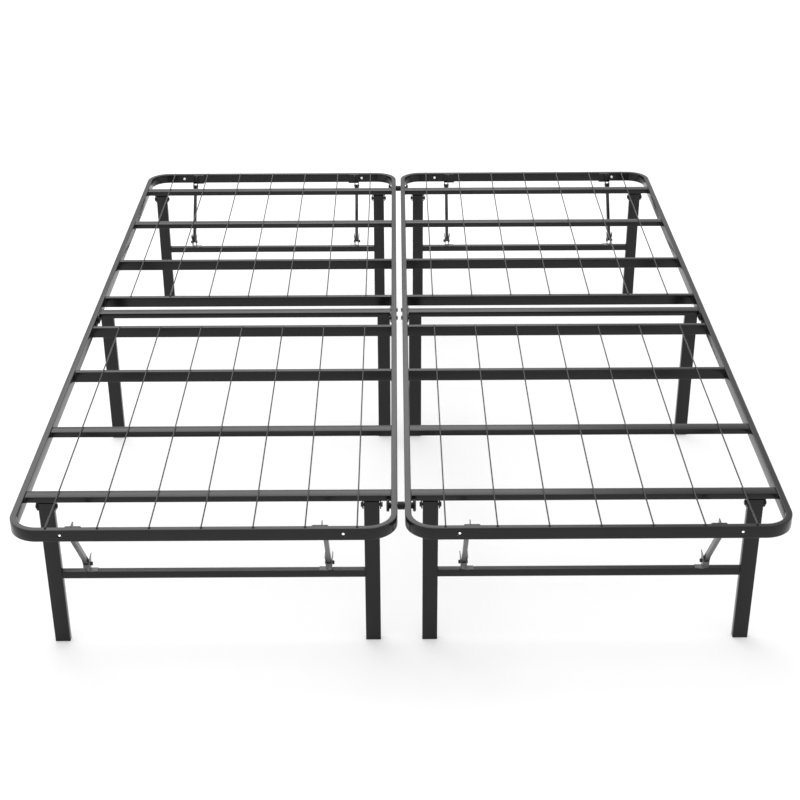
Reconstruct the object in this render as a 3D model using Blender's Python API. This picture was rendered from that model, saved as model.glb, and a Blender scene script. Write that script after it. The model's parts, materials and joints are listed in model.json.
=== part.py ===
"""Folding metal platform bed frame, queen size, as separate pieces on real joints.

Metres, +Z up, +X to the right, -Y at the foot end. The origin is on the floor, under the middle.

Two halves lie side by side, bolted together near both ends. Each half has a fixed leg frame at
mid length and two deck panels, which hinge on it and fold down around it. Each panel carries a
leg frame that folds under it, held square by two struts hung from the end rail. The rear panels
are the front ones turned half a turn.

Panel pieces are modelled in panel coordinates: x runs outward from the middle of the half,
away from the bed's centre line, y runs inward from the end of the bed, and z is the height.
"""
from math import atan2, cos, hypot, pi, sin

import bmesh
import bpy
from mathutils import Matrix, Vector

# Whole bed
WIDTH = 1.511
LENGTH = 2.019
DECK_TOP = 0.3556
HALVES_GAP = 0.0141
HALF_WIDTH = (WIDTH - HALVES_GAP) / 2
HALF_CENTRE = (WIDTH + HALVES_GAP) / 4
PANEL_LENGTH = LENGTH / 2
GAP = 0.0003

# Perimeter rail of a panel: one U-bent rectangular tube
RAIL_WIDTH = 0.0127
RAIL_HEIGHT = 0.0254
RAIL_WALL = 0.0012
RAIL_CORNER_RADIUS = 0.059
RAIL_CORNER_STEPS = 8
RAIL_INNER_FACE = HALF_WIDTH / 2 - RAIL_WIDTH
RAIL_MID_HEIGHT = DECK_TOP - RAIL_HEIGHT / 2

# Slats: one rectangular tube, laid flat or stood on edge, a little below the top of the rail
SLAT_TOP = DECK_TOP - 0.003
SLAT_BROAD = 0.0254
SLAT_THIN = 0.0127
SLAT_WALL = 0.001
SLAT_HALF_LENGTH = RAIL_INNER_FACE - GAP
SLAT_1_PLACE = 0.139
SLAT_2_PLACE = 0.4044
SLAT_3_PLACE = 0.6815
SLAT_4_PLACE = 0.920

# Deck wires, from the end rail over the slats into slat 4
WIRE_COUNT = 7
WIRE_PITCH = 0.099
WIRE_RADIUS = 0.0015
WIRE_BEND_RADIUS = 0.0022
WIRE_TAIL = 0.0045
WIRE_SIDES = 6
WIRE_BEND_STEPS = 2
WIRE_HOLE_RADIUS = 0.0026

# Headboard holes through the end rail
HEADBOARD_HOLE_SIDES = 12
HEADBOARD_HOLE_RADIUS = 0.004
HEADBOARD_HOLE_PLACE = 0.2702

# Hinge between the panels and the fixed frame
SEAM_GAP = 0.0002
HINGE_OFFSET = 0.0235
HINGE_PLATE_THICKNESS = 0.0025
HINGE_PLATE_RADIUS = 0.011
HINGE_BOLT_RADIUS = 0.003
HINGE_HOLE_RADIUS = 0.0035

# Legs
LEG_WIDTH = 0.031
LEG_DEPTH = 0.015
LEG_WALL = 0.0012
LEG_PLACE = 0.322875
LEG_TOP = 0.335
LEG_PIVOT_HEIGHT = 0.325
LEG_BOLT_RADIUS = 0.003
LEG_HOLE_RADIUS = 0.0035
MID_LEG_PLACE = 0.3422

# U-shaped bracket that holds the top of each folding leg, welded under slat 1
LEG_BRACKET_INNER = 0.0163
LEG_BRACKET_OUTER = 0.0188
LEG_BRACKET_BASE = 0.002
LEG_BRACKET_RADIUS = 0.009

# Crossbar between the two legs of a folding leg frame
CROSSBAR_DEPTH = 0.0146
CROSSBAR_BOTTOM = 0.1565
CROSSBAR_TOP = 0.1725
CROSSBAR_WALL = 0.001

# Struts and the clips that take their forked ends. All four panels are the same unit, turned
# half a turn at the rear, and its pair of struts sits off centre; so in panel coordinates the
# pair is at one place on the front left and rear right panels, and mirrored on the other two.
STRUT_HALF_SPACING = 0.245
STRUT_OFFSET = 0.010
STRUT_PIVOT_PLACE = 0.030
STRUT_PIVOT_HEIGHT = 0.325
STRUT_WIDTH = 0.0088
STRUT_DEPTH = 0.0105
STRUT_WALL = 0.0015
STRUT_END = 0.006
STRUT_PRONG = 0.0045
STRUT_HOLE_RADIUS = 0.0032
STRUT_SLOT_HALF = 0.0024
RIVET_RADIUS = 0.0025
STRUT_EAR_INNER = 0.0047
STRUT_EAR_OUTER = 0.006
STRUT_EAR_RADIUS = 0.008
STRUT_EAR_BOTTOM = 0.333
STRUT_EAR_LOW_TOP = 0.345
STRUT_EAR_LOW_REACH = 0.027
STRUT_EAR_TALL_REACH = 0.0335
STRUT_EAR_START = 0.3 * pi
STRUT_EAR_END = -0.75 * pi
BRACKET_PLATE_THICKNESS = 0.004
BRACKET_PLATE_LONG = 0.0255
BRACKET_PLATE_SHORT = 0.0075
BRACKET_BOTTOM = 0.3285
BRACKET_TOP = 0.3553
RIVET_REACH = 0.0008
CLIP_INNER = 0.0048
CLIP_WALL = 0.0015
CLIP_WAIST = 0.0035
CLIP_WAIST_HEIGHT = 0.0065
CLIP_DEPTH = 0.018
CLIP_HEIGHT = 0.036
CLIP_FLARE_HEIGHT = 0.026
CLIP_FLARE = 0.002
CLIP_CORNER = 0.0015
CLIP_FOOT = 0.02
CLIP_WEB_TOP = 0.1865
CLIP_PIN_RADIUS = 0.0018
CLIP_PIN_HEIGHT = 0.188
CLIP_NUT_RADIUS = 0.004
CLIP_HEAD_REACH = 0.002
CLIP_NUT_REACH = 0.0042

# Connector between the halves
CONNECTOR_PLACE = 0.105
CONNECTOR_BOLT_RADIUS = 0.004
CONNECTOR_HOLE_RADIUS = 0.0046
SPACER_RADIUS = 0.008
KNOB_NECK_RADIUS = 0.0065
KNOB_NECK_LENGTH = 0.0035
KNOB_DISC_RADIUS = 0.012
KNOB_DISC_LENGTH = 0.0055
KNOB_LOBES = 8
KNOB_LOBE_DEPTH = 0.0012

# Bolt heads and nuts
HEX_RADIUS = 0.0055
HEAD_THICKNESS = 0.0027
NUT_THICKNESS = 0.003
SHAFT_INSET = 0.0002
CONNECTOR_SHAFT_INSET = 0.001

# Facets of round and hexagonal things
ROUND_SIDES = 10
HEX_SIDES = 6
SPACER_SIDES = 16
ROUND_END_STEPS = 6

# How far welded pieces run into each other, and how far a cutter stands past what it cuts
WELD_OVERLAP = 0.0005
PAST = 0.01


# ---------------------------------------------------------------- solids

def to_mesh(bm, name="shape"):
    """Turn a bmesh into a mesh with its faces pointing out."""
    bmesh.ops.recalc_face_normals(bm, faces=bm.faces)
    mesh = bpy.data.meshes.new(name)
    bm.to_mesh(mesh)
    bm.free()
    return mesh


def prism(outline, axis, start, end):
    """Extrude a flat outline along an axis; its points are the other two coordinates, in order."""
    def corner(a, b, along):
        return {"X": (along, a, b), "Y": (a, along, b), "Z": (a, b, along)}[axis]

    bm = bmesh.new()
    first = [bm.verts.new(corner(a, b, start)) for a, b in outline]
    last = [bm.verts.new(corner(a, b, end)) for a, b in outline]
    bm.faces.new(first)
    bm.faces.new(last)
    for i in range(len(outline)):
        j = (i + 1) % len(outline)
        bm.faces.new((first[i], first[j], last[j], last[i]))
    return to_mesh(bm)


def box(x, y, z):
    """A block between the two limits given for each axis."""
    outline = [(x[0], y[0]), (x[1], y[0]), (x[1], y[1]), (x[0], y[1])]
    return prism(outline, "Z", z[0], z[1])


def polygon(centre, radius, sides, turn=0.0):
    """Corners of a regular polygon."""
    angles = [2 * pi * (i + turn) / sides for i in range(sides)]
    return [(centre[0] + radius * cos(a), centre[1] + radius * sin(a)) for a in angles]


def rod(axis, centre, radius, start, end, sides=ROUND_SIDES):
    """A round bar, or with six sides a hexagonal one."""
    return prism(polygon(centre, radius, sides, 0.5), axis, start, end)


def arc(centre, radius, start, end, steps):
    """Points along an arc, both ends included."""
    angles = [start + (end - start) * i / steps for i in range(steps + 1)]
    return [(centre[0] + radius * cos(a), centre[1] + radius * sin(a)) for a in angles]


def sweep(path, radius, sides):
    """A round wire in a plane of constant x along a path of (y, z) points."""
    bm = bmesh.new()
    rings = []
    for i, here in enumerate(path):
        before = Vector(path[max(i - 1, 0)])
        after = Vector(path[min(i + 1, len(path) - 1)])
        ahead = (after - before).normalized()
        across = Vector((-ahead.y, ahead.x))
        ring = []
        for k in range(sides):
            angle = 2 * pi * (k + 0.5) / sides
            offset = across * (radius * sin(angle))
            ring.append(bm.verts.new((radius * cos(angle), here[0] + offset.x, here[1] + offset.y)))
        rings.append(ring)
    for ring, following in zip(rings, rings[1:]):
        for k in range(sides):
            j = (k + 1) % sides
            bm.faces.new((ring[k], ring[j], following[j], following[k]))
    bm.faces.new(rings[0])
    bm.faces.new(rings[-1])
    return to_mesh(bm)


def moved(mesh, x=0.0, y=0.0, z=0.0):
    """A shifted copy of a mesh."""
    copy = mesh.copy()
    copy.transform(Matrix.Translation((x, y, z)))
    return copy


def combine(base, tools, operation):
    """Join the tools to the base, or cut them from it, one after another."""
    scene_objects = bpy.context.collection.objects
    body = bpy.data.objects.new("work_body", base)
    scene_objects.link(body)
    helpers = []
    for tool in tools:
        helper = bpy.data.objects.new("work_tool", tool)
        scene_objects.link(helper)
        helpers.append(helper)
        modifier = body.modifiers.new("combine", "BOOLEAN")
        modifier.operation = operation
        modifier.solver = "EXACT"
        modifier.object = helper
    depsgraph = bpy.context.evaluated_depsgraph_get()
    result = bpy.data.meshes.new_from_object(body.evaluated_get(depsgraph))
    for helper in helpers + [body]:
        bpy.data.objects.remove(helper)
    return result


def join(base, *tools):
    return combine(base, tools, "UNION")


def cut(base, *tools):
    return combine(base, tools, "DIFFERENCE")


# ---------------------------------------------------------------- panel pieces

def seam_end(z):
    """Where a side rail ends: slanted, so that its lower corner clears the other panel as it folds."""
    pivot = PANEL_LENGTH - HINGE_OFFSET
    reach = HINGE_OFFSET - SEAM_GAP
    drop = RAIL_MID_HEIGHT - (DECK_TOP - RAIL_HEIGHT)
    lower_reach = (reach ** 2 - drop ** 2) ** 0.5
    share = (DECK_TOP - z) / RAIL_HEIGHT
    return pivot + reach + (lower_reach - reach) * share


def rail_tube():
    """The U-bent tube, hollow, with both ends open at the seam."""
    half = HALF_WIDTH / 2
    centre_x = half - RAIL_CORNER_RADIUS
    turns = [pi / 2 * i / RAIL_CORNER_STEPS for i in range(RAIL_CORNER_STEPS + 1)]
    stations = [(-half, None, 1.0, 0.0)]
    for a in turns:
        stations.append((-centre_x - RAIL_CORNER_RADIUS * cos(a),
                         RAIL_CORNER_RADIUS * (1 - sin(a)), cos(a), sin(a)))
    for a in reversed(turns):
        stations.append((centre_x + RAIL_CORNER_RADIUS * cos(a),
                         RAIL_CORNER_RADIUS * (1 - sin(a)), -cos(a), sin(a)))
    stations.append((half, None, -1.0, 0.0))

    top = DECK_TOP
    bottom = DECK_TOP - RAIL_HEIGHT
    loops = []
    for inset in (0.0, RAIL_WALL):
        low_z = bottom + inset
        high_z = top - inset
        loops.append([(inset, high_z), (RAIL_WIDTH - inset, high_z),
                      (RAIL_WIDTH - inset, low_z), (inset, low_z)])
    bm = bmesh.new()
    sections = []
    for x, y, inward_x, inward_y in stations:
        section = []
        for loop in loops:
            ring = []
            for inward, z in loop:
                start_y = seam_end(z) if y is None else y
                ring.append(bm.verts.new((x + inward_x * inward, start_y + inward_y * inward, z)))
            section.append(ring)
        sections.append(section)
    for section, following in zip(sections, sections[1:]):
        for ring, next_ring in zip(section, following):
            for k in range(4):
                j = (k + 1) % 4
                bm.faces.new((ring[k], ring[j], next_ring[j], next_ring[k]))
    for outer, inner in (sections[0], sections[-1]):
        for k in range(4):
            j = (k + 1) % 4
            bm.faces.new((outer[k], outer[j], inner[j], inner[k]))
    return to_mesh(bm)


def strut_place(side, hand):
    """Where a strut is across its panel: side is -1 for the inner and 1 for the outer one."""
    return side * STRUT_HALF_SPACING + hand * STRUT_OFFSET


def strut_bracket(side, hand):
    """Back plate, ears and rivet that hang one strut from the end rail.

    The ear toward the middle of the panel stands taller than the other.
    """
    place = strut_place(side, hand)
    pivot = (STRUT_PIVOT_PLACE, STRUT_PIVOT_HEIGHT)
    root_y = RAIL_WIDTH - WELD_OVERLAP
    around_rivet = arc(pivot, STRUT_EAR_RADIUS, STRUT_EAR_START, STRUT_EAR_END, ROUND_END_STEPS)
    tall_ear = [(root_y, STRUT_EAR_BOTTOM), (root_y, BRACKET_TOP), (STRUT_EAR_TALL_REACH, BRACKET_TOP)]
    tall_ear += around_rivet
    low_ear = [(root_y, STRUT_EAR_BOTTOM), (root_y, STRUT_EAR_LOW_TOP),
               (STRUT_EAR_LOW_REACH, STRUT_EAR_LOW_TOP)]
    low_ear += around_rivet
    parts = []
    for turn, ear in ((-side, tall_ear), (side, low_ear)):
        edges = (place + turn * STRUT_EAR_INNER, place + turn * STRUT_EAR_OUTER)
        parts.append(prism(ear, "X", min(edges), max(edges)))
    edges = (place - side * BRACKET_PLATE_LONG, place + side * BRACKET_PLATE_SHORT)
    parts.append(box((min(edges), max(edges)), (root_y, RAIL_WIDTH + BRACKET_PLATE_THICKNESS),
                     (BRACKET_BOTTOM, BRACKET_TOP)))
    rivet_reach = STRUT_EAR_OUTER + RIVET_REACH
    parts.append(rod("X", pivot, RIVET_RADIUS, place - rivet_reach, place + rivet_reach))
    return parts


def rail(hand):
    """Perimeter rail with its strut brackets and every hole."""
    body = join(rail_tube(), *strut_bracket(-1, hand), *strut_bracket(1, hand))
    half = HALF_WIDTH / 2
    holes = []
    for side in (-1, 1):
        holes.append(rod("Y", (side * HEADBOARD_HOLE_PLACE, RAIL_MID_HEIGHT),
                         HEADBOARD_HOLE_RADIUS, -PAST, RAIL_WIDTH + PAST, HEADBOARD_HOLE_SIDES))
        holes.append(rod("X", (PANEL_LENGTH - HINGE_OFFSET, RAIL_MID_HEIGHT), HINGE_HOLE_RADIUS,
                         side * half - RAIL_WIDTH - PAST, side * half + RAIL_WIDTH + PAST))
    holes.append(rod("X", (CONNECTOR_PLACE, RAIL_MID_HEIGHT), CONNECTOR_HOLE_RADIUS,
                     -half - PAST, -half + RAIL_WIDTH + PAST))
    for i in range(WIRE_COUNT):
        x = (i - (WIRE_COUNT - 1) / 2) * WIRE_PITCH
        holes.append(rod("Z", (x, RAIL_WIDTH / 2), WIRE_HOLE_RADIUS,
                         DECK_TOP - 2 * RAIL_WALL, DECK_TOP + PAST, WIRE_SIDES))
    return cut(body, *holes)


def slat(place, depth, height):
    """One straight tube across the panel, open at both ends."""
    loops = []
    for inset in (0.0, SLAT_WALL):
        front = place - depth / 2 + inset
        back = place + depth / 2 - inset
        low_z = SLAT_TOP - height + inset
        high_z = SLAT_TOP - inset
        loops.append([(front, low_z), (back, low_z), (back, high_z), (front, high_z)])
    bm = bmesh.new()
    ends = []
    for x in (-SLAT_HALF_LENGTH, SLAT_HALF_LENGTH):
        ends.append([[bm.verts.new((x, y, z)) for y, z in loop] for loop in loops])
    for k in range(4):
        j = (k + 1) % 4
        for left, right in zip(ends[0], ends[1]):
            bm.faces.new((left[k], left[j], right[j], right[k]))
        for outer_ring, inner_ring in ends:
            bm.faces.new((outer_ring[k], outer_ring[j], inner_ring[j], inner_ring[k]))
    return to_mesh(bm)


def leg_bracket(side):
    """The U-shaped bracket under slat 1 that one folding leg turns in."""
    centre = side * LEG_PLACE
    under = SLAT_TOP - SLAT_THIN
    base_bottom = under - LEG_BRACKET_BASE
    pivot = (SLAT_1_PLACE, LEG_PIVOT_HEIGHT)
    parts = [box((centre - LEG_BRACKET_OUTER, centre + LEG_BRACKET_OUTER),
                 (SLAT_1_PLACE - LEG_BRACKET_RADIUS, SLAT_1_PLACE + LEG_BRACKET_RADIUS),
                 (base_bottom, under + WELD_OVERLAP))]
    profile = [(SLAT_1_PLACE + LEG_BRACKET_RADIUS, under), (SLAT_1_PLACE - LEG_BRACKET_RADIUS, under)]
    profile += arc(pivot, LEG_BRACKET_RADIUS, pi, 2 * pi, ROUND_END_STEPS)
    for turn in (-1, 1):
        near = centre + turn * LEG_BRACKET_INNER
        far = centre + turn * LEG_BRACKET_OUTER
        parts.append(prism(profile, "X", min(near, far), max(near, far)))
    return join(parts[0], *parts[1:])


def slat_1():
    """First slat, flat, with the brackets of the two folding legs."""
    body = join(slat(SLAT_1_PLACE, SLAT_BROAD, SLAT_THIN), leg_bracket(-1), leg_bracket(1))
    pivot = (SLAT_1_PLACE, LEG_PIVOT_HEIGHT)
    holes = []
    for side in (-1, 1):
        centre = side * LEG_PLACE
        holes.append(rod("X", pivot, LEG_HOLE_RADIUS, centre - LEG_WIDTH, centre + LEG_WIDTH))
    return cut(body, *holes)


def slat_4_and_wires():
    """Last slat, on edge, with the seven deck wires hooked down into its top.

    Each wire lies on the slats, rises over the end rail and hooks down through its top.
    """
    over_rail = DECK_TOP + GAP + WIRE_RADIUS
    over_slats = SLAT_TOP + GAP + WIRE_RADIUS
    rail_bend = (RAIL_WIDTH / 2 + WIRE_BEND_RADIUS, over_rail - WIRE_BEND_RADIUS)
    slat_bend = (SLAT_4_PLACE - WIRE_BEND_RADIUS, over_slats - WIRE_BEND_RADIUS)
    path = [(RAIL_WIDTH / 2, over_rail - WIRE_TAIL)]
    path += arc(rail_bend, WIRE_BEND_RADIUS, pi, pi / 2, WIRE_BEND_STEPS)
    path += [(RAIL_WIDTH + WIRE_RADIUS, over_rail),
             (SLAT_1_PLACE - SLAT_BROAD / 2 - WIRE_RADIUS, over_slats)]
    path += arc(slat_bend, WIRE_BEND_RADIUS, pi / 2, 0, WIRE_BEND_STEPS)
    path += [(SLAT_4_PLACE, over_slats - WIRE_TAIL)]
    wire = sweep(path, WIRE_RADIUS, WIRE_SIDES)
    wires = []
    for i in range(WIRE_COUNT):
        wires.append(moved(wire, x=(i - (WIRE_COUNT - 1) / 2) * WIRE_PITCH))
    return join(slat(SLAT_4_PLACE, SLAT_THIN, SLAT_BROAD), *wires)


# ---------------------------------------------------------------- legs and struts

def leg_tube(centre_x, centre_y, top, inset):
    """The outside of an upright leg, or with an inset its bore, which is closed at the foot."""
    half_width = LEG_WIDTH / 2 - inset
    half_depth = LEG_DEPTH / 2 - inset
    return box((centre_x - half_width, centre_x + half_width),
               (centre_y - half_depth, centre_y + half_depth), (inset, top))


def bar(half_length, centre_y, depth, bottom, top, inset):
    """The outside of a bar that joins two legs, or with an inset its bore."""
    return box((-half_length, half_length),
               (centre_y - depth / 2 + inset, centre_y + depth / 2 - inset),
               (bottom + inset, top - inset))


def clip(side, hand, nut_side):
    """The flared clip on the crossbar, with the pin that a strut's forked end drops over.

    Its web faces the end of the bed and stays below the strut. nut_side is the side its nut is on.
    """
    place = strut_place(side, hand)
    base = CROSSBAR_TOP - WELD_OVERLAP
    wall_top = CROSSBAR_TOP + CLIP_HEIGHT
    flare_start = CROSSBAR_TOP + CLIP_FLARE_HEIGHT
    outer = CLIP_INNER + CLIP_WALL
    floor = CROSSBAR_TOP + CLIP_WALL
    shoulder = CROSSBAR_TOP + CLIP_CORNER
    widened = CROSSBAR_TOP + CLIP_WAIST_HEIGHT
    outer_waist = CLIP_WAIST + CLIP_WALL
    outline = [(CLIP_CORNER - outer_waist, base), (-outer_waist, shoulder), (-outer, widened),
               (-outer, flare_start), (-outer - CLIP_FLARE, wall_top),
               (-CLIP_INNER - CLIP_FLARE, wall_top), (-CLIP_INNER, flare_start),
               (-CLIP_INNER, widened), (-CLIP_WAIST, floor), (CLIP_WAIST, floor),
               (CLIP_INNER, widened), (CLIP_INNER, flare_start),
               (CLIP_INNER + CLIP_FLARE, wall_top), (outer + CLIP_FLARE, wall_top),
               (outer, flare_start), (outer, widened), (outer_waist, floor), (CLIP_FOOT, floor),
               (CLIP_FOOT, base)]
    outline = [(place - side * x, z) for x, z in outline]
    front = SLAT_1_PLACE - CLIP_DEPTH / 2
    body = prism(outline, "Y", front, front + CLIP_DEPTH)
    web_outline = [(-outer_waist, floor - CLIP_WALL / 2), (outer_waist, floor - CLIP_WALL / 2),
                   (outer, widened), (outer, CLIP_WEB_TOP), (-outer, CLIP_WEB_TOP),
                   (-outer, widened)]
    web = prism([(place + x, z) for x, z in web_outline], "Y", front, front + CLIP_WALL)
    pin_centre = (SLAT_1_PLACE, CLIP_PIN_HEIGHT)
    pin = rod("X", pin_centre, CLIP_PIN_RADIUS, place - outer, place + outer)
    ends = []
    for reach in (nut_side * CLIP_NUT_REACH, -nut_side * CLIP_HEAD_REACH):
        sign = 1 if reach > 0 else -1
        edges = (place + sign * (outer - WELD_OVERLAP), place + sign * outer + reach)
        ends.append(rod("X", pin_centre, CLIP_NUT_RADIUS, min(edges), max(edges), HEX_SIDES))
    return [body, web, pin] + ends


def leg_frame(hand, side_y):
    """A folding leg frame: two legs, their crossbar and the two clips, welded.

    The nuts of the clips face the middle of the bed, but for the outer ones at the rear.
    """
    crossbar = (LEG_PLACE, SLAT_1_PLACE, CROSSBAR_DEPTH, CROSSBAR_BOTTOM, CROSSBAR_TOP)
    legs = [leg_tube(side * LEG_PLACE, SLAT_1_PLACE, LEG_TOP, 0.0) for side in (-1, 1)]
    bores = [leg_tube(side * LEG_PLACE, SLAT_1_PLACE, LEG_TOP + PAST, LEG_WALL) for side in (-1, 1)]
    body = join(bar(*crossbar, 0.0), *legs, *clip(-1, hand, -1), *clip(1, hand, side_y))
    pivot = (SLAT_1_PLACE, LEG_PIVOT_HEIGHT)
    holes = []
    for side in (-1, 1):
        centre = side * LEG_PLACE
        holes.append(rod("X", pivot, LEG_HOLE_RADIUS, centre - LEG_WIDTH, centre + LEG_WIDTH))
    return cut(body, bar(*crossbar, CROSSBAR_WALL), *bores, *holes)


def mid_frame():
    """The fixed frame at mid length: a flat top bar on two legs."""
    half_length = SLAT_HALF_LENGTH - HINGE_PLATE_THICKNESS - GAP
    under = SLAT_TOP - SLAT_THIN
    shape = (PANEL_LENGTH, SLAT_BROAD, under, SLAT_TOP)
    legs = []
    bores = []
    for side in (-1, 1):
        legs.append(leg_tube(side * MID_LEG_PLACE, PANEL_LENGTH, under + WELD_OVERLAP, 0.0))
        bores.append(leg_tube(side * MID_LEG_PLACE, PANEL_LENGTH, under + SLAT_THIN / 2, LEG_WALL))
    body = join(bar(half_length, *shape, 0.0), *legs)
    return cut(body, bar(half_length + PAST, *shape, SLAT_WALL), *bores)


def strut(side, hand):
    """A U channel, pierced at its upper end and forked at its lower one, in its rest position.

    Its web faces the end of the bed.
    """
    run = SLAT_1_PLACE - STRUT_PIVOT_PLACE
    fall = STRUT_PIVOT_HEIGHT - CLIP_PIN_HEIGHT
    length = hypot(run, fall)
    half_width = STRUT_WIDTH / 2
    half_depth = STRUT_DEPTH / 2
    web = half_depth - STRUT_WALL
    channel = [(-half_width, half_depth), (-half_width, -half_depth), (half_width, -half_depth),
               (half_width, half_depth), (half_width - STRUT_WALL, half_depth),
               (half_width - STRUT_WALL, -web), (-half_width + STRUT_WALL, -web),
               (-half_width + STRUT_WALL, half_depth)]
    body = prism(channel, "Z", -length - STRUT_PRONG, STRUT_END)
    hole = rod("X", (0.0, 0.0), STRUT_HOLE_RADIUS, -STRUT_WIDTH, STRUT_WIDTH)
    slot = box((-STRUT_WIDTH, STRUT_WIDTH), (-STRUT_SLOT_HALF, STRUT_SLOT_HALF),
               (-length - PAST, -length + STRUT_SLOT_HALF))
    body = cut(body, hole, slot)
    body.transform(Matrix.Rotation(atan2(run, fall), 4, "X"))
    return moved(body, strut_place(side, hand), STRUT_PIVOT_PLACE, STRUT_PIVOT_HEIGHT)


# ---------------------------------------------------------------- fasteners

def bolt(centre, radius, head, nut):
    """A bolt along x: a shaft with a hexagonal head and nut, each given by its two x limits."""
    start = min(head + nut)
    end = max(head + nut)
    shaft = rod("X", centre, radius, start + SHAFT_INSET, end - SHAFT_INSET)
    return join(shaft, rod("X", centre, HEX_RADIUS, min(head), max(head), HEX_SIDES),
                rod("X", centre, HEX_RADIUS, min(nut), max(nut), HEX_SIDES))


def leg_bolt(side):
    """Pivot bolt of one folding leg, through its bracket."""
    centre = side * LEG_PLACE
    face = LEG_BRACKET_OUTER + GAP
    return bolt((SLAT_1_PLACE, LEG_PIVOT_HEIGHT), LEG_BOLT_RADIUS,
                (centre - face - HEAD_THICKNESS, centre - face),
                (centre + face, centre + face + HEAD_THICKNESS))


def hinge_bolt(side, end):
    """Hinge bolt through a rail and a hinge plate; end is -1 on the nearer panel, +1 beyond."""
    outer_face = HALF_WIDTH / 2 + GAP
    plate_face = SLAT_HALF_LENGTH - HINGE_PLATE_THICKNESS - GAP
    return bolt((PANEL_LENGTH + end * HINGE_OFFSET, RAIL_MID_HEIGHT), HINGE_BOLT_RADIUS,
                (side * outer_face, side * (outer_face + HEAD_THICKNESS)),
                (side * plate_face, side * (plate_face - NUT_THICKNESS)))


def hinge_plate(side):
    """Round-ended plate against the inner faces of both panels' rails."""
    centre_z = RAIL_MID_HEIGHT
    near = (PANEL_LENGTH - HINGE_OFFSET, centre_z)
    far = (PANEL_LENGTH + HINGE_OFFSET, centre_z)
    outline = arc(far, HINGE_PLATE_RADIUS, -pi / 2, pi / 2, ROUND_END_STEPS)
    outline += arc(near, HINGE_PLATE_RADIUS, pi / 2, 1.5 * pi, ROUND_END_STEPS)
    edges = (side * SLAT_HALF_LENGTH, side * (SLAT_HALF_LENGTH - HINGE_PLATE_THICKNESS))
    plate = prism(outline, "X", min(edges), max(edges))
    holes = [rod("X", centre, HINGE_HOLE_RADIUS, min(edges) - PAST, max(edges) + PAST)
             for centre in (near, far)]
    return cut(plate, *holes)


def connector(y):
    """Bolt with a thick spacer that holds the halves apart, in world coordinates."""
    knob_end = HALVES_GAP / 2 + RAIL_WIDTH + GAP + KNOB_NECK_LENGTH + KNOB_DISC_LENGTH
    centre = (y, RAIL_MID_HEIGHT)
    shaft_end = knob_end - CONNECTOR_SHAFT_INSET
    shaft = rod("X", centre, CONNECTOR_BOLT_RADIUS, -shaft_end, shaft_end)
    spacer_half = HALVES_GAP / 2 - GAP
    return join(shaft, rod("X", centre, SPACER_RADIUS, -spacer_half, spacer_half, SPACER_SIDES))


def knob():
    """Hand nut on a connector bolt, against the inner face of a rail."""
    centre = (CONNECTOR_PLACE, RAIL_MID_HEIGHT)
    face = -RAIL_INNER_FACE + GAP
    shoulder = face + KNOB_NECK_LENGTH
    rim = []
    for i in range(2 * KNOB_LOBES):
        angle = pi * i / KNOB_LOBES
        radius = KNOB_DISC_RADIUS - (i % 2) * KNOB_LOBE_DEPTH
        rim.append((centre[0] + radius * cos(angle), centre[1] + radius * sin(angle)))
    disc = prism(rim, "X", shoulder, shoulder + KNOB_DISC_LENGTH)
    body = join(disc, rod("X", centre, KNOB_NECK_RADIUS, face, shoulder + WELD_OVERLAP))
    bore = rod("X", centre, CONNECTOR_HOLE_RADIUS, face - PAST, shoulder + KNOB_DISC_LENGTH + PAST)
    return cut(body, bore)


# ---------------------------------------------------------------- assembly

def material(name, colour, roughness, metallic):
    """A plain Principled material."""
    result = bpy.data.materials.new(name)
    result.use_nodes = True
    shader = result.node_tree.nodes["Principled BSDF"]
    shader.inputs["Base Color"].default_value = (*colour, 1.0)
    shader.inputs["Roughness"].default_value = roughness
    shader.inputs["Metallic"].default_value = metallic
    return result


def panel_matrix(side_x, side_y):
    """From panel coordinates to the world: side_x is -1 on the left, side_y is -1 in front."""
    return Matrix(((side_x, 0, 0, side_x * HALF_CENTRE), (0, -side_y, 0, side_y * PANEL_LENGTH),
                   (0, 0, 1, 0), (0, 0, 0, 1)))


def pivot_empty(name, place, parent=None):
    """An empty on a joint axis that carries one moving body."""
    empty = bpy.data.objects.new(name, None)
    bpy.context.collection.objects.link(empty)
    empty.parent = parent
    empty.location = Vector(place) - (Vector(parent.location) if parent else Vector((0, 0, 0)))
    return empty


def add_piece(name, shape, finish, matrix, axis_point, parent):
    """Place one piece: its mesh goes through matrix, its origin goes to axis_point in the world."""
    mesh = shape.copy()
    mesh.name = name
    mesh.transform(matrix)
    if matrix.determinant() < 0:
        mesh.flip_normals()
    mesh.transform(Matrix.Translation(-Vector(axis_point)))
    mesh.materials.clear()
    mesh.materials.append(finish)
    mesh.shade_smooth()
    mesh.set_sharp_from_angle(angle=pi / 6)
    piece = bpy.data.objects.new(name, mesh)
    bpy.context.collection.objects.link(piece)
    piece.parent = parent
    piece.location = Vector(axis_point) - Vector(parent.location)
    return piece


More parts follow.
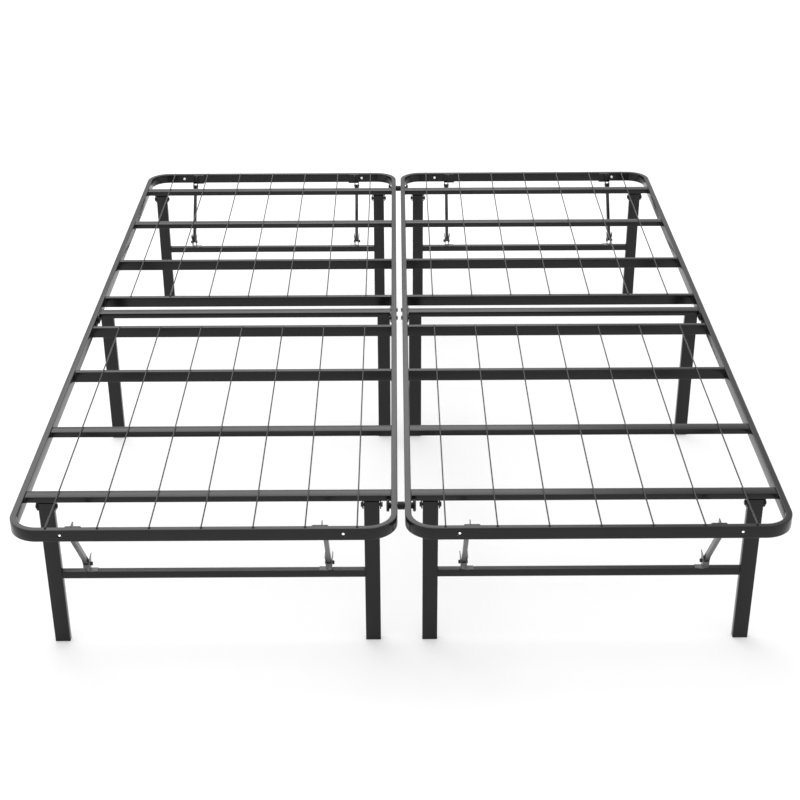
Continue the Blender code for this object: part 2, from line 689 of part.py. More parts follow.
def build():
    for old in list(bpy.data.objects):
        bpy.data.objects.remove(old)

    coat = material("black_powder_coat", (0.022, 0.022, 0.024), 0.42, 0.0)
    steel = material("blackened_steel", (0.045, 0.045, 0.048), 0.38, 0.9)
    plastic = material("black_plastic", (0.014, 0.014, 0.015), 0.5, 0.0)

    hands = (-1, 1)
    rail_shapes = {hand: rail(hand) for hand in hands}
    legs_shapes = {(hand, side_y): leg_frame(hand, side_y) for hand in hands for side_y in (-1, 1)}
    strut_shapes = {(side, hand): strut(side, hand) for side in (-1, 1) for hand in hands}
    panel_shapes = {
        "slat_1": slat_1(),
        "slat_2": slat(SLAT_2_PLACE, SLAT_BROAD, SLAT_THIN),
        "slat_3": slat(SLAT_3_PLACE, SLAT_THIN, SLAT_BROAD),
        "slat_4_and_wires": slat_4_and_wires(),
    }
    leg_bolt_shapes = {side: leg_bolt(side) for side in (-1, 1)}
    side_names = {-1: "inner", 1: "outer"}
    knob_shape = knob()

    base = pivot_empty("bed_base", (0, 0, 0))
    for side_y, end_name in ((-1, "front"), (1, "rear")):
        deck_axis = (0.0, side_y * HINGE_OFFSET, RAIL_MID_HEIGHT)
        deck = pivot_empty(end_name + "_deck", deck_axis, base)
        connector_y = side_y * (PANEL_LENGTH - CONNECTOR_PLACE)
        connector_axis = (0.0, connector_y, RAIL_MID_HEIGHT)
        add_piece(end_name + "_connector_bolt", connector(connector_y), plastic, Matrix(),
                  connector_axis, deck)
        for side_x, half_name in ((-1, "left"), (1, "right")):
            prefix = end_name + "_" + half_name + "_"
            place = panel_matrix(side_x, side_y)
            hand = side_x * side_y
            add_piece(prefix + "rail", rail_shapes[hand], coat, place, deck_axis, deck)
            for name, shape in panel_shapes.items():
                add_piece(prefix + name, shape, coat, place, deck_axis, deck)
            leg_axis = place @ Vector((0.0, SLAT_1_PLACE, LEG_PIVOT_HEIGHT))
            add_piece(prefix + "legs", legs_shapes[hand, side_y], coat, place, leg_axis, deck)
            add_piece(prefix + "connector_knob", knob_shape, plastic, place,
                      place @ Vector((-RAIL_INNER_FACE, CONNECTOR_PLACE, RAIL_MID_HEIGHT)), deck)
            for side, side_name in side_names.items():
                strut_axis = place @ Vector((strut_place(side, hand), STRUT_PIVOT_PLACE,
                                             STRUT_PIVOT_HEIGHT))
                add_piece(prefix + side_name + "_strut", strut_shapes[side, hand], coat, place,
                          strut_axis, deck)
                add_piece(prefix + side_name + "_leg_bolt", leg_bolt_shapes[side], steel, place,
                          leg_axis, deck)

    for side_x, half_name in ((-1, "left"), (1, "right")):
        place = panel_matrix(side_x, -1)
        add_piece("mid_" + half_name + "_legs", mid_frame(), coat, place, (0, 0, 0), base)
        for side, side_name in side_names.items():
            prefix = "mid_" + half_name + "_" + side_name
            add_piece(prefix + "_hinge_plate", hinge_plate(side), coat, place, (0, 0, 0), base)
            for end, end_name in ((-1, "front"), (1, "rear")):
                axis = place @ Vector((side * RAIL_INNER_FACE, PANEL_LENGTH + end * HINGE_OFFSET,
                                       RAIL_MID_HEIGHT))
                add_piece(prefix + "_" + end_name + "_hinge_bolt", hinge_bolt(side, end), steel,
                          place, axis, base)


build()
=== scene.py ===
"""Folding metal platform bed frame: finishes, studio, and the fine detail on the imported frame."""
import json
from math import atan2, cos, pi, sin

import bmesh
import bpy
from mathutils import Matrix, Vector


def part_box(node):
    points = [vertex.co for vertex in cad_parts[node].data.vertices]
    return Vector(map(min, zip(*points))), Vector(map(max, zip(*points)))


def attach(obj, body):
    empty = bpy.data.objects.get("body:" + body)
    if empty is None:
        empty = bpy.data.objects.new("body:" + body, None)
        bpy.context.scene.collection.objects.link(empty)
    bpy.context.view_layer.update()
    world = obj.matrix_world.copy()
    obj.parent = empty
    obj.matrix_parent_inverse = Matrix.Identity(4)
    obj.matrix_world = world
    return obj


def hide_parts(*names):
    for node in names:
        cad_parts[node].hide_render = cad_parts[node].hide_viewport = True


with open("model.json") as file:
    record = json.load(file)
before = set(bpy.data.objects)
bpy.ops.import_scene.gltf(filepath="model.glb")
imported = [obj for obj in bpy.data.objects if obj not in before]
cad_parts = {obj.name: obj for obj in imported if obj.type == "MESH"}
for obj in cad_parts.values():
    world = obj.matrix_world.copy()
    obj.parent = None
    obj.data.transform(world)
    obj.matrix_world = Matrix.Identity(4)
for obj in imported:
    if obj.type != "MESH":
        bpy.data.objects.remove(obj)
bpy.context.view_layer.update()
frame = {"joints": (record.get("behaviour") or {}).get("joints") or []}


# ---------------------------------------------------------------- materials

class Nodes:
    """A material's node tree, with short calls to add and link nodes."""

    def __init__(self, name):
        self.material = bpy.data.materials.new(name)
        self.material.use_nodes = True
        self.tree = self.material.node_tree
        self.shader = self.tree.nodes["Principled BSDF"]

    def add(self, kind, inputs=(), **settings):
        node = self.tree.nodes.new(kind)
        for key, value in settings.items():
            setattr(node, key, value)
        for key, value in dict(inputs).items():
            if isinstance(value, bpy.types.NodeSocket):
                self.tree.links.new(value, node.inputs[key])
            else:
                node.inputs[key].default_value = value
        return node

    def noise(self, place, scale, detail=2.0, roughness=0.5):
        return self.add("ShaderNodeTexNoise", {"Vector": place, "Scale": scale, "Detail": detail,
                                               "Roughness": roughness}).outputs["Fac"]

    def span(self, value, low, high, to_low=0.0, to_high=1.0):
        """Map a value from one range to another, held at the ends."""
        return self.add("ShaderNodeMapRange", {"Value": value, "From Min": low, "From Max": high,
                                               "To Min": to_low, "To Max": to_high}).outputs[0]

    def combine(self, a, b, operation="MULTIPLY"):
        return self.add("ShaderNodeMath", {0: a, 1: b}, operation=operation).outputs[0]

    def mix(self, factor, a, b):
        node = self.add("ShaderNodeMix", data_type="RGBA")
        for key, value in (("Factor", factor), ("A", a), ("B", b)):
            socket = [s for s in node.inputs if s.name == key and s.enabled][0]
            if isinstance(value, bpy.types.NodeSocket):
                self.tree.links.new(value, socket)
            else:
                socket.default_value = value
        return [s for s in node.outputs if s.enabled][0]

    def set(self, key, value):
        if isinstance(value, bpy.types.NodeSocket):
            self.tree.links.new(value, self.shader.inputs[key])
        else:
            self.shader.inputs[key].default_value = value


def grey(value):
    return (value, value, value * 1.03, 1.0)


def edge_mask(m, place, radius, low, high):
    """Where an edge is sharp, broken up by noise: 1 on a worn edge, 0 on a flat face."""
    rounded = m.add("ShaderNodeBevel", {"Radius": radius}, samples=4).outputs["Normal"]
    true = m.add("ShaderNodeNewGeometry").outputs["True Normal"]
    along = m.add("ShaderNodeVectorMath", {0: rounded, 1: true}, operation="DOT_PRODUCT").outputs["Value"]
    edge = m.span(along, 0.98, 0.75)
    broken = m.span(m.noise(place, 90.0, 4.0, 0.65), low, high)
    return m.combine(edge, broken)


def powder_coat(name, base, rough, specular=0.30):
    """Powder coat: fine orange peel, faint cloudiness, edges a little thin."""
    m = Nodes(name)
    place = m.add("ShaderNodeTexCoord").outputs["Object"]
    cloud = m.noise(place, 22.0, 3.0)
    speck = m.noise(place, 1700.0, 1.0)
    worn = edge_mask(m, place, 0.0012, 0.50, 0.72)
    colour = m.mix(m.span(cloud, 0.3, 0.7), grey(base * 0.85), grey(base * 1.2))
    colour = m.mix(m.span(speck, 0.66, 0.8), colour, grey(base * 2.2))
    m.set("Base Color", m.mix(m.combine(worn, 0.5), colour, grey(base + 0.09)))
    uneven = m.span(cloud, 0.25, 0.75, rough * 0.9, rough * 1.12)
    m.set("Roughness", m.combine(uneven, m.combine(worn, 0.06), "ADD"))
    m.set("Specular IOR Level", specular)
    peel = m.add("ShaderNodeBump", {"Strength": 0.35, "Distance": 0.00012,
                                    "Height": m.noise(place, 620.0, 1.5)}).outputs["Normal"]
    m.set("Normal", peel)
    return m.material


def blackened_steel():
    """Black-oxide bolts: turned marks, and bright steel where a spanner has touched the corners."""
    m = Nodes("black_oxide_bolt_steel")
    place = m.add("ShaderNodeTexCoord").outputs["Object"]
    cloud = m.noise(place, 240.0, 4.0)
    worn = edge_mask(m, place, 0.0007, 0.42, 0.6)
    m.set("Base Color", m.mix(worn, m.mix(cloud, grey(0.012), grey(0.026)), grey(0.14)))
    m.set("Metallic", 0.85)
    m.set("Specular IOR Level", 0.30)
    m.set("Roughness", m.span(cloud, 0.2, 0.8, 0.3, 0.48))
    m.set("Normal", m.add("ShaderNodeBump", {"Strength": 0.4, "Distance": 0.0001,
                                             "Height": m.noise(place, 1400.0, 2.0)}).outputs["Normal"])
    return m.material


def moulded_plastic():
    """Black moulded plastic with a spark-eroded grain."""
    m = Nodes("moulded_black_plastic")
    place = m.add("ShaderNodeTexCoord").outputs["Object"]
    cell = m.add("ShaderNodeTexVoronoi", {"Vector": place, "Scale": 1500.0}).outputs["Distance"]
    cloud = m.noise(place, 60.0, 3.0)
    m.set("Base Color", m.mix(cloud, grey(0.007), grey(0.013)))
    m.set("Specular IOR Level", 0.30)
    m.set("Roughness", m.span(cloud, 0.3, 0.7, 0.44, 0.56))
    m.set("Normal", m.add("ShaderNodeBump", {"Strength": 0.45, "Distance": 0.00015,
                                             "Height": cell}).outputs["Normal"])
    return m.material


def bright_zinc():
    """Zinc plating: faint spangle, fine scratches."""
    m = Nodes("bright_zinc_plate")
    place = m.add("ShaderNodeTexCoord").outputs["Object"]
    cloud = m.noise(place, 500.0, 3.0)
    m.set("Base Color", m.mix(cloud, (0.72, 0.73, 0.75, 1.0), (0.88, 0.88, 0.88, 1.0)))
    m.set("Metallic", 1.0)
    m.set("Roughness", m.span(cloud, 0.3, 0.7, 0.14, 0.26))
    m.set("Normal", m.add("ShaderNodeBump", {"Strength": 0.2, "Distance": 0.00005,
                                             "Height": m.noise(place, 2500.0, 2.0)}).outputs["Normal"])
    return m.material


finishes = {
    "black_powder_coat": powder_coat("black_powder_coat_finish", 0.006, 0.22),
    "strut_coat": powder_coat("strut_powder_coat", 0.02, 0.28, 0.65),
    "clip_coat": powder_coat("clip_grey_coat", 0.07, 0.34, 0.6),
    "blackened_steel": blackened_steel(),
    "black_plastic": moulded_plastic(),
    "bright_zinc": bright_zinc(),
}


# ---------------------------------------------------------------- shapes
# A shape is (points, faces). Panel pieces are made in panel coordinates: x outward from the
# middle of the half, y inward from the end of the bed, z up.

def arc(centre, radius, start, end, steps):
    """Points along an arc, both ends included."""
    angles = [start + (end - start) * i / steps for i in range(steps + 1)]
    return [(centre[0] + radius * cos(a), centre[1] + radius * sin(a)) for a in angles]


def rounded(size, radius, centre=(0.0, 0.0), steps=3):
    """Outline of a rectangle with rounded corners."""
    far_a = size[0] / 2 - radius
    far_b = size[1] / 2 - radius
    points = []
    for turn, (sign_a, sign_b) in enumerate(((1, 1), (-1, 1), (-1, -1), (1, -1))):
        corner = (centre[0] + sign_a * far_a, centre[1] + sign_b * far_b)
        points += arc(corner, radius, turn * pi / 2, (turn + 1) * pi / 2, steps)
    return points


def circle(centre, radius, sides):
    return arc(centre, radius, 0.0, 2 * pi, sides)[:-1]


def at(axis, outline, value):
    """Stand a flat outline at a value along an axis."""
    if axis == "X":
        return [(value, a, b) for a, b in outline]
    if axis == "Y":
        return [(a, value, b) for a, b in outline]
    return [(a, b, value) for a, b in outline]


def loft(rings, loop=False):
    """Skin rings of equal length; with loop the last joins the first, else the ends are capped."""
    sides = len(rings[0])
    points = [p for ring in rings for p in ring]
    faces = []
    for i in range(len(rings) if loop else len(rings) - 1):
        here = i * sides
        there = (i + 1) % len(rings) * sides
        for k in range(sides):
            j = (k + 1) % sides
            faces.append((here + k, here + j, there + j, there + k))
    if not loop:
        faces.append(tuple(range(sides)))
        faces.append(tuple(range(len(points) - sides, len(points))))
    return points, faces


def merge(*shapes):
    """Join shapes into one."""
    points = []
    faces = []
    for new_points, new_faces in shapes:
        base = len(points)
        points += new_points
        faces += [tuple(base + i for i in face) for face in new_faces]
    return points, faces


def turned(shape, matrix):
    return [tuple(matrix @ Vector(p)) for p in shape[0]], shape[1]


def bar(axis, outline, start, end):
    """A solid with the given outline, between two values along an axis."""
    return loft([at(axis, outline, start), at(axis, outline, end)])


def tube(axis, centre, size, start, end, radius, wall):
    """A hollow rectangular tube with rounded corners, open at both ends."""
    outer = rounded(size, radius, centre)
    inner = rounded((size[0] - 2 * wall, size[1] - 2 * wall), radius * 0.3, centre)
    return loft([at(axis, outer, start), at(axis, outer, end), at(axis, inner, end), at(axis, inner, start)],
                loop=True)


def lathe(axis, centre, profile, sides=24, outline=None):
    """Turn a profile of (along, radius) points about an axis."""
    rings = []
    for along, radius in profile:
        shape = outline(radius) if outline else circle((0, 0), radius, sides)
        rings.append(at(axis, [(centre[0] + a, centre[1] + b) for a, b in shape], along))
    return loft(rings)


def sweep(path, radii, sides, across=None):
    """A round bar along 3-D points, with a radius at each."""
    rings = []
    for i, here in enumerate(path):
        ahead = (Vector(path[min(i + 1, len(path) - 1)]) - Vector(path[max(i - 1, 0)])).normalized()
        first = across or ahead.orthogonal().normalized()
        second = ahead.cross(first)
        ring = []
        for k in range(sides):
            angle = 2 * pi * k / sides
            ring.append(tuple(Vector(here) + radii[i] * (cos(angle) * first + sin(angle) * second)))
        rings.append(ring)
    return loft(rings)


def bead(start, end, radius=0.0017):
    """A weld bead: overlapping ripples, a little uneven, thinner at its ends."""
    start = Vector(start)
    end = Vector(end)
    count = 3 * max(3, round((end - start).length / 0.0018))
    path = [start.lerp(end, i / count) for i in range(count + 1)]
    radii = []
    for i in range(count + 1):
        ripple = 0.9 + 0.12 * cos(2 * pi * i / 3) + 0.07 * sin(1.9 * i + 700 * start.x + 300 * start.z)
        radii.append(radius * ripple * (0.55 if i in (0, count) else 1.0))
    return sweep(path, radii, 7)


def carve(body, tool):
    """Cut one shape from another."""
    made = []
    for name, (points, faces) in (("body", body), ("tool", tool)):
        mesh = bpy.data.meshes.new(name)
        mesh.from_pydata(points, [], faces)
        bm = bmesh.new()
        bm.from_mesh(mesh)
        bmesh.ops.recalc_face_normals(bm, faces=bm.faces)
        bm.to_mesh(mesh)
        bm.free()
        thing = bpy.data.objects.new(name, mesh)
        bpy.context.scene.collection.objects.link(thing)
        made.append(thing)
    cut = made[0].modifiers.new("cut", "BOOLEAN")
    cut.operation = "DIFFERENCE"
    cut.solver = "EXACT"
    cut.object = made[1]
    result = made[0].evaluated_get(bpy.context.evaluated_depsgraph_get()).data
    shape = ([tuple(v.co) for v in result.vertices], [tuple(p.vertices) for p in result.polygons])
    for thing in made:
        bpy.data.objects.remove(thing)
    return shape


# ---------------------------------------------------------------- sizes
# Metres. The frame gives the largest, and where slats and legs stand.

rail_low, rail_high = (Vector(p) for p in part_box("front_right_rail"))
HALF_CENTRE = (rail_low.x + rail_high.x) / 2
HALF = (rail_high.x - rail_low.x) / 2
PANEL = -rail_low.y
DECK = rail_high.z
PANEL_SHIFT = Vector((-HALF_CENTRE, PANEL, 0.0))


def local(node):
    """Box of a front right node in panel coordinates."""
    low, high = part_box("front_right_" + node)
    return Vector(low) + PANEL_SHIFT, Vector(high) + PANEL_SHIFT


def middle(node):
    """How far from the end of the bed the middle of a front right node is."""
    low, high = local(node)
    return (low.y + high.y) / 2


# Left between neighbouring pieces
GAP = 0.0003

# Rail: a rectangular tube bent to a U, with outer and inner corner radii
RAIL_WIDTH = 0.0127
RAIL_HEIGHT = 0.0254
RAIL_WALL = 0.0012
RAIL_CORNERS = (0.0013, 0.0004)
RAIL_BEND = 0.059
RAIL_MID = DECK - RAIL_HEIGHT / 2
INNER_FACE = HALF - RAIL_WIDTH
HEADBOARD_HOLE = 0.2702
HEADBOARD_HOLE_RADIUS = 0.004

# Slats: one rectangular tube, flat or on edge
BROAD = 0.0254
THIN = 0.0127
SLAT_WALL = 0.001
SLAT_CORNER = 0.001
SLAT_TOP = local("slat_2")[1].z
SLATS = [middle("slat_1"), middle("slat_2"), middle("slat_3"), local("slat_4_and_wires")[1].y - THIN / 2]

# Deck wires: hooked at both ends, and level until WIRE_LEVEL past the rail and from as far before slat 1
WIRE_PITCH = 0.099
WIRE_RADIUS = 0.0015
WIRE_BEND = 0.0024
WIRE_HOLE_RADIUS = 0.0024
WIRE_TAIL = 0.0045
WIRE_LEVEL = 0.0015

# Legs, the U brackets that they turn in (their walls' inner and outer faces), and the crossbar
# (depth, lowest and highest height)
LEG = (0.031, 0.015)
LEG_WALL = 0.0012
LEG_CORNER = 0.0013
LEG_PLACE = local("legs")[1].x - LEG[0] / 2
LEG_TOP = local("legs")[1].z
LEG_PIVOT = (SLATS[0], 0.325)
LEG_BRACKET = (0.0163, 0.0188)
LEG_BRACKET_RADIUS = 0.009
MID_LEG_PLACE = 0.3422
FOOT_HEIGHT = 0.0016
CROSSBAR = (0.0146, 0.1565, 0.1725)

# Struts: (y, z) of the pivot and of the pin that the fork drops over, and the walls' inner and
# outer faces
STRUT_PIVOT = (0.030, 0.325)
PIN = (SLATS[0], 0.188)
PIN_RADIUS = 0.0018
STRUT_HALF_SPACING = 0.245
STRUT_OFFSET = 0.010
STRUT_HALF_DEPTH = 0.00525
STRUT_WALL = (0.0029, 0.0044)
STRUT_FORK = 0.0045
STRUT_SLOT = 0.0024

# Strut brackets: a plate on the end rail, and two ears with their inner and outer faces
PLATE_HEIGHT = 0.0268
PLATE_MID = 0.3419
PLATE_REACH = (0.0255, 0.0075)
EAR = (0.0047, 0.0065)
EAR_RADIUS = 0.008
EAR_FOOT = 0.3330
TALL_EAR_TOP = 0.3553
LOW_EAR_TOP = 0.3450

# Strut clips on the crossbar: the walls' inner and outer faces, then the bends
CLIP_INNER = 0.0048
CLIP_OUTER = 0.0065
CLIP_WAIST = 0.0050
CLIP_FLARE = 0.002
CLIP_FOOT = 0.020
CLIP_WEB_TOP = 0.193

# Hinges, bolts with their washers, and the connectors between the halves
HINGE_OFFSET = abs(frame["joints"][0]["pos_m"][1])
HINGE_PLATE = 0.0025
HINGE_PLATE_RADIUS = 0.011
BOLT_HEAD = 0.0027
BOLT_NUT = 0.003
WASHER = 0.0005
CONNECTOR = 0.105
CONNECTOR_END = 0.009


def panel_matrix(side_x, side_y):
    """From panel coordinates to the world, for the panel on the given sides of the bed."""
    return Matrix(((side_x, 0, 0, side_x * HALF_CENTRE),
                   (0, -side_y, 0, side_y * PANEL),
                   (0, 0, 1, 0),
                   (0, 0, 0, 1)))


def piece(name, shape, finish, matrix, body, node=None, edge=0.0003, edge_angle=0.9):
    """Place a shape as an object that rides on a body, and hide the frame node that it replaces if one is
    named.
    Its edges sharper than edge_angle are rounded by edge; its material is its finish's."""
    mesh = bpy.data.meshes.new(name)
    mesh.from_pydata([matrix @ Vector(p) for p in shape[0]], [], shape[1])
    bm = bmesh.new()
    bm.from_mesh(mesh)
    bmesh.ops.recalc_face_normals(bm, faces=bm.faces)
    bm.to_mesh(mesh)
    bm.free()
    mesh.shade_smooth()
    mesh.set_sharp_from_angle(angle=edge_angle)
    mesh.materials.append(finishes[finish])
    made = bpy.data.objects.new(name, mesh)
    bpy.context.scene.collection.objects.link(made)
    if edge:
        bevel = made.modifiers.new("edge", "BEVEL")
        bevel.width = edge
        bevel.segments = 2
        bevel.angle_limit = edge_angle
        bevel.use_clamp_overlap = False
        bevel.harden_normals = True
    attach(made, body)
    if node:
        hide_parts(node)


# ---------------------------------------------------------------- panel pieces

def seam_end(z):
    """Where a side rail ends: slanted, so that its lower corner clears the other panel as it folds."""
    reach = HINGE_OFFSET - 0.0002
    lower = (reach ** 2 - (RAIL_HEIGHT / 2) ** 2) ** 0.5
    return PANEL - HINGE_OFFSET + reach + (lower - reach) * (DECK - z) / RAIL_HEIGHT


def rail_shape():
    """The U-bent tube with its punched holes. A station is x, y and the way inward; y None is the
    seam at mid length."""
    steps = 20
    bend = HALF - RAIL_BEND
    turns = [pi / 2 * i / steps for i in range(steps + 1)]
    stations = [(-HALF, None, 1.0, 0.0)]
    for a in turns:
        stations.append((-bend - RAIL_BEND * cos(a), RAIL_BEND * (1 - sin(a)), cos(a), sin(a)))
    for a in reversed(turns):
        stations.append((bend + RAIL_BEND * cos(a), RAIL_BEND * (1 - sin(a)), -cos(a), sin(a)))
    stations.append((HALF, None, -1.0, 0.0))
    centre = (RAIL_WIDTH / 2, RAIL_MID)
    outer = rounded((RAIL_WIDTH, RAIL_HEIGHT), RAIL_CORNERS[0], centre)
    bore = (RAIL_WIDTH - 2 * RAIL_WALL, RAIL_HEIGHT - 2 * RAIL_WALL)
    inner = rounded(bore, RAIL_CORNERS[1], centre)
    rings = []
    for order, section in ((stations, outer), (stations[::-1], inner)):
        for x, y, inward_x, inward_y in order:
            rings.append([(x + inward_x * a, (seam_end(b) if y is None else y) + inward_y * a, b)
                          for a, b in section])
    body = loft(rings, loop=True)
    holes = []
    for side in (-1, 1):
        hole = circle((side * HEADBOARD_HOLE, RAIL_MID), HEADBOARD_HOLE_RADIUS, 24)
        holes.append(bar("Y", hole, -0.01, 0.03))
    for i in range(-3, 4):
        hole = circle((i * WIRE_PITCH, RAIL_WIDTH / 2), WIRE_HOLE_RADIUS, 16)
        holes.append(bar("Z", hole, DECK - 0.004, DECK + 0.01))
    return carve(body, merge(*holes))


def strut_place(side, hand):
    """Where a strut stands across its panel: off the middle, to the left at the front of the bed and
    to the right at the rear."""
    return side * STRUT_HALF_SPACING + hand * STRUT_OFFSET


def strut_brackets(hand):
    """Pressed brackets on the end rail that the struts hang from, with their rivets."""
    root = RAIL_WIDTH - 0.0005
    around = arc(STRUT_PIVOT, EAR_RADIUS, 0.3 * pi, -0.75 * pi, 14)
    tall = [(root, EAR_FOOT), (root, TALL_EAR_TOP), (0.0325, TALL_EAR_TOP), (0.0335, 0.3545)] + around
    low = [(root, EAR_FOOT), (root, LOW_EAR_TOP), (0.0270, LOW_EAR_TOP)] + around
    dome = [(0.0, 0.0035), (0.0007, 0.0032), (0.0012, 0.0022), (0.0014, 0.0008)]
    rivet = [(-EAR[1] - a, r) for a, r in reversed(dome)] + [(EAR[1] + a, r) for a, r in dome]
    parts = []
    for side in (-1, 1):
        place = strut_place(side, hand)
        for turn, ear in ((-side, tall), (side, low)):
            edges = sorted((place + turn * EAR[0], place + turn * EAR[1]))
            parts.append(bar("X", ear, *edges))
        long_end = place - side * PLATE_REACH[0]
        short_end = place + side * PLATE_REACH[1]
        plate_size = (abs(long_end - short_end), PLATE_HEIGHT)
        plate = rounded(plate_size, 0.004, ((long_end + short_end) / 2, PLATE_MID), 5)
        parts.append(bar("Y", plate, root, RAIL_WIDTH + 0.004))
        parts.append(lathe("X", STRUT_PIVOT, [(place + a, r) for a, r in rivet], 20))
    return merge(*parts)


def hole_liners():
    """Bright bushes in the headboard holes, set back from the outer face."""
    outer = HEADBOARD_HOLE_RADIUS - 0.00005
    inner = HEADBOARD_HOLE_RADIUS - 0.0004
    front = 0.0048
    profile = [(outer, front), (outer, RAIL_WIDTH - 0.0004), (inner, RAIL_WIDTH - 0.0002), (inner, front)]
    parts = []
    for side in (-1, 1):
        centre = (side * HEADBOARD_HOLE, RAIL_MID)
        rings = [at("Y", circle(centre, radius, 24), y) for radius, y in profile]
        parts.append(loft(rings, loop=True))
    return merge(*parts)


def slat(place, depth, height, reach):
    """A rectangular tube across a half, centred on a place, with its top at the slats' height."""
    return tube("X", (place, SLAT_TOP - height / 2), (depth, height), -reach, reach, SLAT_CORNER, SLAT_WALL)


def flat_slat(place):
    return slat(place, BROAD, THIN, INNER_FACE - GAP)


def edge_slat(place):
    return slat(place, THIN, BROAD, INNER_FACE - GAP)


def slat_1_shape():
    """First slat with the pressed U brackets that the legs turn in."""
    under = SLAT_TOP - THIN
    reach = LEG_BRACKET_RADIUS
    parts = [flat_slat(SLATS[0])]
    for side in (-1, 1):
        centre = side * LEG_PLACE
        plate = rounded((2 * LEG_BRACKET[1], 2 * reach), 0.002, (centre, SLATS[0]))
        parts.append(bar("Z", plate, under - 0.002, under + 0.0003))
        profile = [(SLATS[0] + reach, under - 0.0004), (SLATS[0] - reach, under - 0.0004)]
        profile += arc(LEG_PIVOT, reach, pi, 2 * pi, 16)
        for turn in (-1, 1):
            edges = sorted(centre + turn * x for x in LEG_BRACKET)
            parts.append(bar("X", profile, *edges))
    return merge(*parts)


def wire_shapes():
    """Seven deck wires, hooked down through the end rail and into slat 4."""
    bend = WIRE_BEND
    over_rail = DECK + GAP + WIRE_RADIUS
    over_slats = SLAT_TOP + GAP + WIRE_RADIUS
    path = [(RAIL_WIDTH / 2, over_rail - WIRE_TAIL)]
    path += arc((RAIL_WIDTH / 2 + bend, over_rail - bend), bend, pi, pi / 2, 6)
    path += [(RAIL_WIDTH + WIRE_LEVEL, over_rail), (SLATS[0] - BROAD / 2 - WIRE_LEVEL, over_slats)]
    path += [(place, over_slats) for place in SLATS[:3]]
    path += arc((SLATS[3] - bend, over_slats - bend), bend, pi / 2, 0, 6)
    path += [(SLATS[3], over_slats - WIRE_TAIL)]
    shapes = []
    for i in range(-3, 4):
        points = [(i * WIRE_PITCH, y, z) for y, z in path]
        shapes.append(sweep(points, [WIRE_RADIUS] * len(points), 12, Vector((1.0, 0.0, 0.0))))
    return merge(*shapes)


def slat_beads():
    """Welds of the slats to the side rails, and of the leg brackets under slat 1."""
    sections = ((BROAD, THIN), (BROAD, THIN), (THIN, BROAD), (THIN, BROAD))
    under = SLAT_TOP - THIN
    parts = []
    for side in (-1, 1):
        x = side * (INNER_FACE - 0.0003)
        for place, (depth, height) in zip(SLATS, sections):
            for turn in (-1, 1):
                y = place + turn * depth / 2
                parts.append(bead((x, y, SLAT_TOP - 0.0015), (x, y, SLAT_TOP - height + 0.0012)))
            parts.append(bead((x, place - depth / 2 + 0.001, SLAT_TOP - height),
                              (x, place + depth / 2 - 0.001, SLAT_TOP - height)))
        centre = side * LEG_PLACE
        for turn in (-1, 1):
            y = SLATS[0] + turn * 0.0088
            parts.append(bead((centre - 0.016, y, under), (centre + 0.016, y, under), 0.0012))
    return merge(*parts)


def bracket_beads(hand):
    """Welds of the strut brackets' plates to the end rail."""
    parts = []
    for side in (-1, 1):
        place = strut_place(side, hand)
        for x in (place - side * PLATE_REACH[0], place + side * PLATE_REACH[1]):
            parts.append(bead((x, RAIL_WIDTH, 0.3520), (x, RAIL_WIDTH, 0.3340), 0.0014))
    return merge(*parts)


# ---------------------------------------------------------------- legs and struts

def leg_tubes(place_x, place_y, top):
    return [tube("Z", (side * place_x, place_y), LEG, FOOT_HEIGHT, top, LEG_CORNER, LEG_WALL)
            for side in (-1, 1)]


def foot_plugs(place_x, place_y):
    """The flanges of the plastic plugs in the leg ends."""
    parts = []
    for side in (-1, 1):
        centre = (side * place_x, place_y)
        flange = rounded(LEG, LEG_CORNER, centre)
        inset = rounded((LEG[0] - 0.0012, LEG[1] - 0.0012), 0.0010, centre)
        parts.append(loft([at("Z", inset, 0.0), at("Z", flange, 0.0005), at("Z", flange, FOOT_HEIGHT)]))
    return merge(*parts)


def hexagon(radius):
    return circle((0, 0), radius, 6)


def clip(place, side):
    """Pressed clip on the crossbar: a waisted neck on a foot, then two flared walls with a web
    between them on the side of the bed's end."""
    bar_top = CROSSBAR[2]
    floor = bar_top + 0.0015
    shoulder = bar_top + 0.009
    lap = shoulder + 0.001
    inner = CLIP_INNER + 0.0001
    outer = CLIP_OUTER - 0.0001
    neck = arc((0.0015 - CLIP_WAIST, bar_top + 0.0011), 0.0015, 1.5 * pi, pi, 4)
    neck += [(-outer, shoulder), (-outer, lap), (-inner, lap), (-inner, shoulder)]
    neck += [(0.0015 - CLIP_WAIST, floor), (CLIP_WAIST - 0.0015, floor)]
    neck += [(inner, shoulder), (inner, lap), (outer, lap), (outer, shoulder)]
    neck += arc((CLIP_WAIST + 0.002, floor + 0.002), 0.002, pi, 1.5 * pi, 3)
    neck += [(CLIP_FOOT, floor), (CLIP_FOOT, bar_top - 0.0004)]
    parts = [bar("Y", [(place - side * x, z) for x, z in neck], SLATS[0] - 0.007, SLATS[0] + 0.007)]
    front = SLATS[0] - 0.0135
    back = SLATS[0] + 0.009
    bend = bar_top + 0.026
    top = bar_top + 0.036
    out_line = [(0.0, shoulder), (0.0, bend - 0.003), (0.0004, bend), (CLIP_FLARE, top)]
    for sign in (-1, 1):
        wall = [(CLIP_INNER + x, z) for x, z in out_line]
        wall += [(CLIP_OUTER + x, z) for x, z in reversed(out_line)]
        parts.append(bar("Y", [(place + sign * x, z) for x, z in wall], front, back))
    web_foot = shoulder + 0.002
    web_size = (2 * CLIP_INNER + 0.0014, CLIP_WEB_TOP - web_foot)
    web = rounded(web_size, 0.0006, (place, (CLIP_WEB_TOP + web_foot) / 2))
    parts.append(bar("Y", web, front + 0.0003, front + 0.0016))
    return merge(*parts)


